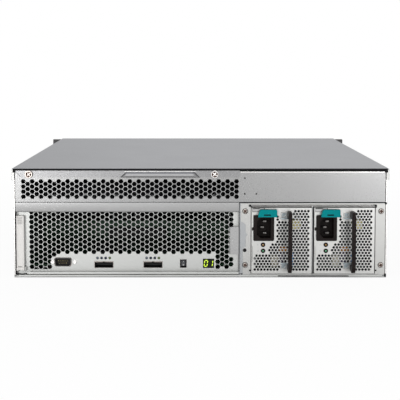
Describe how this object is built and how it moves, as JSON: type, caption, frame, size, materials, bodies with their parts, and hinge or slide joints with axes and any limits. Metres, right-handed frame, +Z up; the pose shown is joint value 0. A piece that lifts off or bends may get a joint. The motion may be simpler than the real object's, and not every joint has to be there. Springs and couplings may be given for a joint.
{
  "type": "disk shelf enclosure",
  "caption": "Rack-mount disk shelf: perforated rear with a slide-out controller module, hot-swap power supplies, fans, and drive carriers in front.",
  "frame": {"origin": "centre of the underside of the sheet metal tub", "axes": "+Y from the rear panel to the drive bays, +Z up, +X to the right seen from the rear"},
  "size_m": [0.4826, 0.5563, 0.131],
  "materials": {
    "zinc_sheet": "zinc-plated sheet, satin",
    "cover_sheet": "zinc-plated sheet, satin",
    "module_sheet": "zinc-plated sheet, satin",
    "frame_sheet": "zinc-plated sheet, satin",
    "supply_sheet": "zinc-plated sheet, satin",
    "port_metal": "nickel-plated shell",
    "light_paint": "light satin",
    "dark_paint": "dark grey satin",
    "black_plastic": "moulded, satin",
    "teal_plastic": "moulded, satin",
    "fan_plastic": "moulded, satin",
    "circuit_board": "coated laminate",
    "carrier_plastic": "moulded, satin",
    "lever_plastic": "moulded, satin"
  },
  "bodies": {
    "chassis": {"chassis_tub": "zinc_sheet", "middle_shelf": "zinc_sheet", "supply_bay_frame": "frame_sheet", "fan_housings": "fan_plastic", "drive_cage": "zinc_sheet", "midplane": "circuit_board", "rack_ears": "dark_paint"},
    "cover": {"top_cover": "cover_sheet"},
    "module": {"module_face": "module_sheet", "module_tray": "module_sheet", "module_board": "circuit_board", "module_ports": "port_metal"},
    "ejector": {"module_ejector": "light_paint"},
    "rocker": {"power_rocker": "black_plastic"},
    "fan_1": {"fan_rotor_1": "fan_plastic"},
    "fan_2": {"fan_rotor_2": "fan_plastic"},
    "supply_1": {"supply_case_1": "supply_sheet", "supply_inlet_1": "black_plastic", "supply_inside_1": "circuit_board"},
    "supply_handle_body_1": {"supply_handle_1": "black_plastic"},
    "supply_latch_body_1": {"supply_latch_1": "teal_plastic"},
    "supply_fan_1": {"supply_rotor_1": "fan_plastic"},
    "supply_2": {"supply_case_2": "supply_sheet", "supply_inlet_2": "black_plastic", "supply_inside_2": "circuit_board"},
    "supply_handle_body_2": {"supply_handle_2": "black_plastic"},
    "supply_latch_body_2": {"supply_latch_2": "teal_plastic"},
    "supply_fan_2": {"supply_rotor_2": "fan_plastic"},
    "carrier_a1": {"drive_carrier_a1": "carrier_plastic"},
    "lever_a1": {"carrier_lever_a1": "lever_plastic"},
    "carrier_a2": {"drive_carrier_a2": "carrier_plastic"},
    "lever_a2": {"carrier_lever_a2": "lever_plastic"},
    "carrier_a3": {"drive_carrier_a3": "carrier_plastic"},
    "lever_a3": {"carrier_lever_a3": "lever_plastic"},
    "carrier_a4": {"drive_carrier_a4": "carrier_plastic"},
    "lever_a4": {"carrier_lever_a4": "lever_plastic"},
    "carrier_b1": {"drive_carrier_b1": "carrier_plastic"},
    "lever_b1": {"carrier_lever_b1": "lever_plastic"},
    "carrier_b2": {"drive_carrier_b2": "carrier_plastic"},
    "lever_b2": {"carrier_lever_b2": "lever_plastic"},
    "carrier_b3": {"drive_carrier_b3": "carrier_plastic"},
    "lever_b3": {"carrier_lever_b3": "lever_plastic"},
    "carrier_b4": {"drive_carrier_b4": "carrier_plastic"},
    "lever_b4": {"carrier_lever_b4": "lever_plastic"},
    "carrier_c1": {"drive_carrier_c1": "carrier_plastic"},
    "lever_c1": {"carrier_lever_c1": "lever_plastic"},
    "carrier_c2": {"drive_carrier_c2": "carrier_plastic"},
    "lever_c2": {"carrier_lever_c2": "lever_plastic"},
    "carrier_c3": {"drive_carrier_c3": "carrier_plastic"},
    "lever_c3": {"carrier_lever_c3": "lever_plastic"},
    "carrier_c4": {"drive_carrier_c4": "carrier_plastic"},
    "lever_c4": {"carrier_lever_c4": "lever_plastic"},
    "carrier_d1": {"drive_carrier_d1": "carrier_plastic"},
    "lever_d1": {"carrier_lever_d1": "lever_plastic"},
    "carrier_d2": {"drive_carrier_d2": "carrier_plastic"},
    "lever_d2": {"carrier_lever_d2": "lever_plastic"},
    "carrier_d3": {"drive_carrier_d3": "carrier_plastic"},
    "lever_d3": {"carrier_lever_d3": "lever_plastic"},
    "carrier_d4": {"drive_carrier_d4": "carrier_plastic"},
    "lever_d4": {"carrier_lever_d4": "lever_plastic"}
  },
  "joints": [
    {"name": "cover_slide", "type": "slide", "parent": "chassis", "child": "cover", "axis": [0, -1, 0], "range_m": [0, 0.45]},
    {"name": "module_slide", "type": "slide", "parent": "chassis", "child": "module", "axis": [0, -1, 0], "range_m": [0, 0.25]},
    {"name": "ejector_hinge", "type": "hinge", "parent": "module", "child": "ejector", "pos_m": [-0.215, -0.256, 0.0098], "axis": [1, 0, 0], "range_deg": [0, 80]},
    {"name": "rocker_hinge", "type": "hinge", "parent": "module", "child": "rocker", "pos_m": [-0.0203, -0.249, 0.0152], "axis": [1, 0, 0], "range_deg": [0, 20]},
    {"name": "fan_spin_1", "type": "hinge", "parent": "chassis", "child": "fan_1", "pos_m": [-0.159, 0.057, 0.0615], "axis": [0, 1, 0], "continuous": true},
    {"name": "fan_spin_2", "type": "hinge", "parent": "chassis", "child": "fan_2", "pos_m": [-0.035, 0.057, 0.0615], "axis": [0, 1, 0], "continuous": true},
    {"name": "supply_slide_1", "type": "slide", "parent": "chassis", "child": "supply_1", "axis": [0, -1, 0], "range_m": [0, 0.26]},
    {"name": "handle_hinge_1", "type": "hinge", "parent": "supply_1", "child": "supply_handle_body_1", "pos_m": [0.1056, -0.2634, 0.0436], "axis": [0, 0, 1], "range_deg": [0, 85]},
    {"name": "latch_push_1", "type": "slide", "parent": "supply_1", "child": "supply_latch_body_1", "axis": [1, 0, 0], "range_m": [0, 0.003], "stiffness_N_per_m": 800},
    {"name": "supply_fan_spin_1", "type": "hinge", "parent": "supply_1", "child": "supply_fan_1", "pos_m": [0.09685, -0.032, 0.0406], "axis": [0, 1, 0], "continuous": true},
    {"name": "supply_slide_2", "type": "slide", "parent": "chassis", "child": "supply_2", "axis": [0, -1, 0], "range_m": [0, 0.26]},
    {"name": "handle_hinge_2", "type": "hinge", "parent": "supply_2", "child": "supply_handle_body_2", "pos_m": [0.1804, -0.2634, 0.0436], "axis": [0, 0, 1], "range_deg": [0, 85]},
    {"name": "latch_push_2", "type": "slide", "parent": "supply_2", "child": "supply_latch_body_2", "axis": [1, 0, 0], "range_m": [0, 0.003], "stiffness_N_per_m": 800},
    {"name": "supply_fan_spin_2", "type": "hinge", "parent": "supply_2", "child": "supply_fan_2", "pos_m": [0.17165, -0.032, 0.0406], "axis": [0, 1, 0], "continuous": true},
    {"name": "carrier_slide_a1", "type": "slide", "parent": "chassis", "child": "carrier_a1", "axis": [0, 1, 0], "range_m": [0, 0.165]},
    {"name": "lever_hinge_a1", "type": "hinge", "parent": "carrier_a1", "child": "lever_a1", "pos_m": [-0.211, 0.2703, 0.0177], "axis": [0, 0, 1], "range_deg": [0, 75]},
    {"name": "carrier_slide_a2", "type": "slide", "parent": "chassis", "child": "carrier_a2", "axis": [0, 1, 0], "range_m": [0, 0.165]},
    {"name": "lever_hinge_a2", "type": "hinge", "parent": "carrier_a2", "child": "lever_a2", "pos_m": [-0.211, 0.2703, 0.0489], "axis": [0, 0, 1], "range_deg": [0, 75]},
    {"name": "carrier_slide_a3", "type": "slide", "parent": "chassis", "child": "carrier_a3", "axis": [0, 1, 0], "range_m": [0, 0.165]},
    {"name": "lever_hinge_a3", "type": "hinge", "parent": "carrier_a3", "child": "lever_a3", "pos_m": [-0.211, 0.2703, 0.0801], "axis": [0, 0, 1], "range_deg": [0, 75]},
    {"name": "carrier_slide_a4", "type": "slide", "parent": "chassis", "child": "carrier_a4", "axis": [0, 1, 0], "range_m": [0, 0.165]},
    {"name": "lever_hinge_a4", "type": "hinge", "parent": "carrier_a4", "child": "lever_a4", "pos_m": [-0.211, 0.2703, 0.1113], "axis": [0, 0, 1], "range_deg": [0, 75]},
    {"name": "carrier_slide_b1", "type": "slide", "parent": "chassis", "child": "carrier_b1", "axis": [0, 1, 0], "range_m": [0, 0.165]},
    {"name": "lever_hinge_b1", "type": "hinge", "parent": "carrier_b1", "child": "lever_b1", "pos_m": [-0.1014, 0.2703, 0.0177], "axis": [0, 0, 1], "range_deg": [0, 75]},
    {"name": "carrier_slide_b2", "type": "slide", "parent": "chassis", "child": "carrier_b2", "axis": [0, 1, 0], "range_m": [0, 0.165]},
    {"name": "lever_hinge_b2", "type": "hinge", "parent": "carrier_b2", "child": "lever_b2", "pos_m": [-0.1014, 0.2703, 0.0489], "axis": [0, 0, 1], "range_deg": [0, 75]},
    {"name": "carrier_slide_b3", "type": "slide", "parent": "chassis", "child": "carrier_b3", "axis": [0, 1, 0], "range_m": [0, 0.165]},
    {"name": "lever_hinge_b3", "type": "hinge", "parent": "carrier_b3", "child": "lever_b3", "pos_m": [-0.1014, 0.2703, 0.0801], "axis": [0, 0, 1], "range_deg": [0, 75]},
    {"name": "carrier_slide_b4", "type": "slide", "parent": "chassis", "child": "carrier_b4", "axis": [0, 1, 0], "range_m": [0, 0.165]},
    {"name": "lever_hinge_b4", "type": "hinge", "parent": "carrier_b4", "child": "lever_b4", "pos_m": [-0.1014, 0.2703, 0.1113], "axis": [0, 0, 1], "range_deg": [0, 75]},
    {"name": "carrier_slide_c1", "type": "slide", "parent": "chassis", "child": "carrier_c1", "axis": [0, 1, 0], "range_m": [0, 0.165]},
    {"name": "lever_hinge_c1", "type": "hinge", "parent": "carrier_c1", "child": "lever_c1", "pos_m": [0.0082, 0.2703, 0.0177], "axis": [0, 0, 1], "range_deg": [0, 75]},
    {"name": "carrier_slide_c2", "type": "slide", "parent": "chassis", "child": "carrier_c2", "axis": [0, 1, 0], "range_m": [0, 0.165]},
    {"name": "lever_hinge_c2", "type": "hinge", "parent": "carrier_c2", "child": "lever_c2", "pos_m": [0.0082, 0.2703, 0.0489], "axis": [0, 0, 1], "range_deg": [0, 75]},
    {"name": "carrier_slide_c3", "type": "slide", "parent": "chassis", "child": "carrier_c3", "axis": [0, 1, 0], "range_m": [0, 0.165]},
    {"name": "lever_hinge_c3", "type": "hinge", "parent": "carrier_c3", "child": "lever_c3", "pos_m": [0.0082, 0.2703, 0.0801], "axis": [0, 0, 1], "range_deg": [0, 75]},
    {"name": "carrier_slide_c4", "type": "slide", "parent": "chassis", "child": "carrier_c4", "axis": [0, 1, 0], "range_m": [0, 0.165]},
    {"name": "lever_hinge_c4", "type": "hinge", "parent": "carrier_c4", "child": "lever_c4", "pos_m": [0.0082, 0.2703, 0.1113], "axis": [0, 0, 1], "range_deg": [0, 75]},
    {"name": "carrier_slide_d1", "type": "slide", "parent": "chassis", "child": "carrier_d1", "axis": [0, 1, 0], "range_m": [0, 0.165]},
    {"name": "lever_hinge_d1", "type": "hinge", "parent": "carrier_d1", "child": "lever_d1", "pos_m": [0.1178, 0.2703, 0.0177], "axis": [0, 0, 1], "range_deg": [0, 75]},
    {"name": "carrier_slide_d2", "type": "slide", "parent": "chassis", "child": "carrier_d2", "axis": [0, 1, 0], "range_m": [0, 0.165]},
    {"name": "lever_hinge_d2", "type": "hinge", "parent": "carrier_d2", "child": "lever_d2", "pos_m": [0.1178, 0.2703, 0.0489], "axis": [0, 0, 1], "range_deg": [0, 75]},
    {"name": "carrier_slide_d3", "type": "slide", "parent": "chassis", "child": "carrier_d3", "axis": [0, 1, 0], "range_m": [0, 0.165]},
    {"name": "lever_hinge_d3", "type": "hinge", "parent": "carrier_d3", "child": "lever_d3", "pos_m": [0.1178, 0.2703, 0.0801], "axis": [0, 0, 1], "range_deg": [0, 75]},
    {"name": "carrier_slide_d4", "type": "slide", "parent": "chassis", "child": "carrier_d4", "axis": [0, 1, 0], "range_m": [0, 0.165]},
    {"name": "lever_hinge_d4", "type": "hinge", "parent": "carrier_d4", "child": "lever_d4", "pos_m": [0.1178, 0.2703, 0.1113], "axis": [0, 0, 1], "range_deg": [0, 75]}
  ]
}
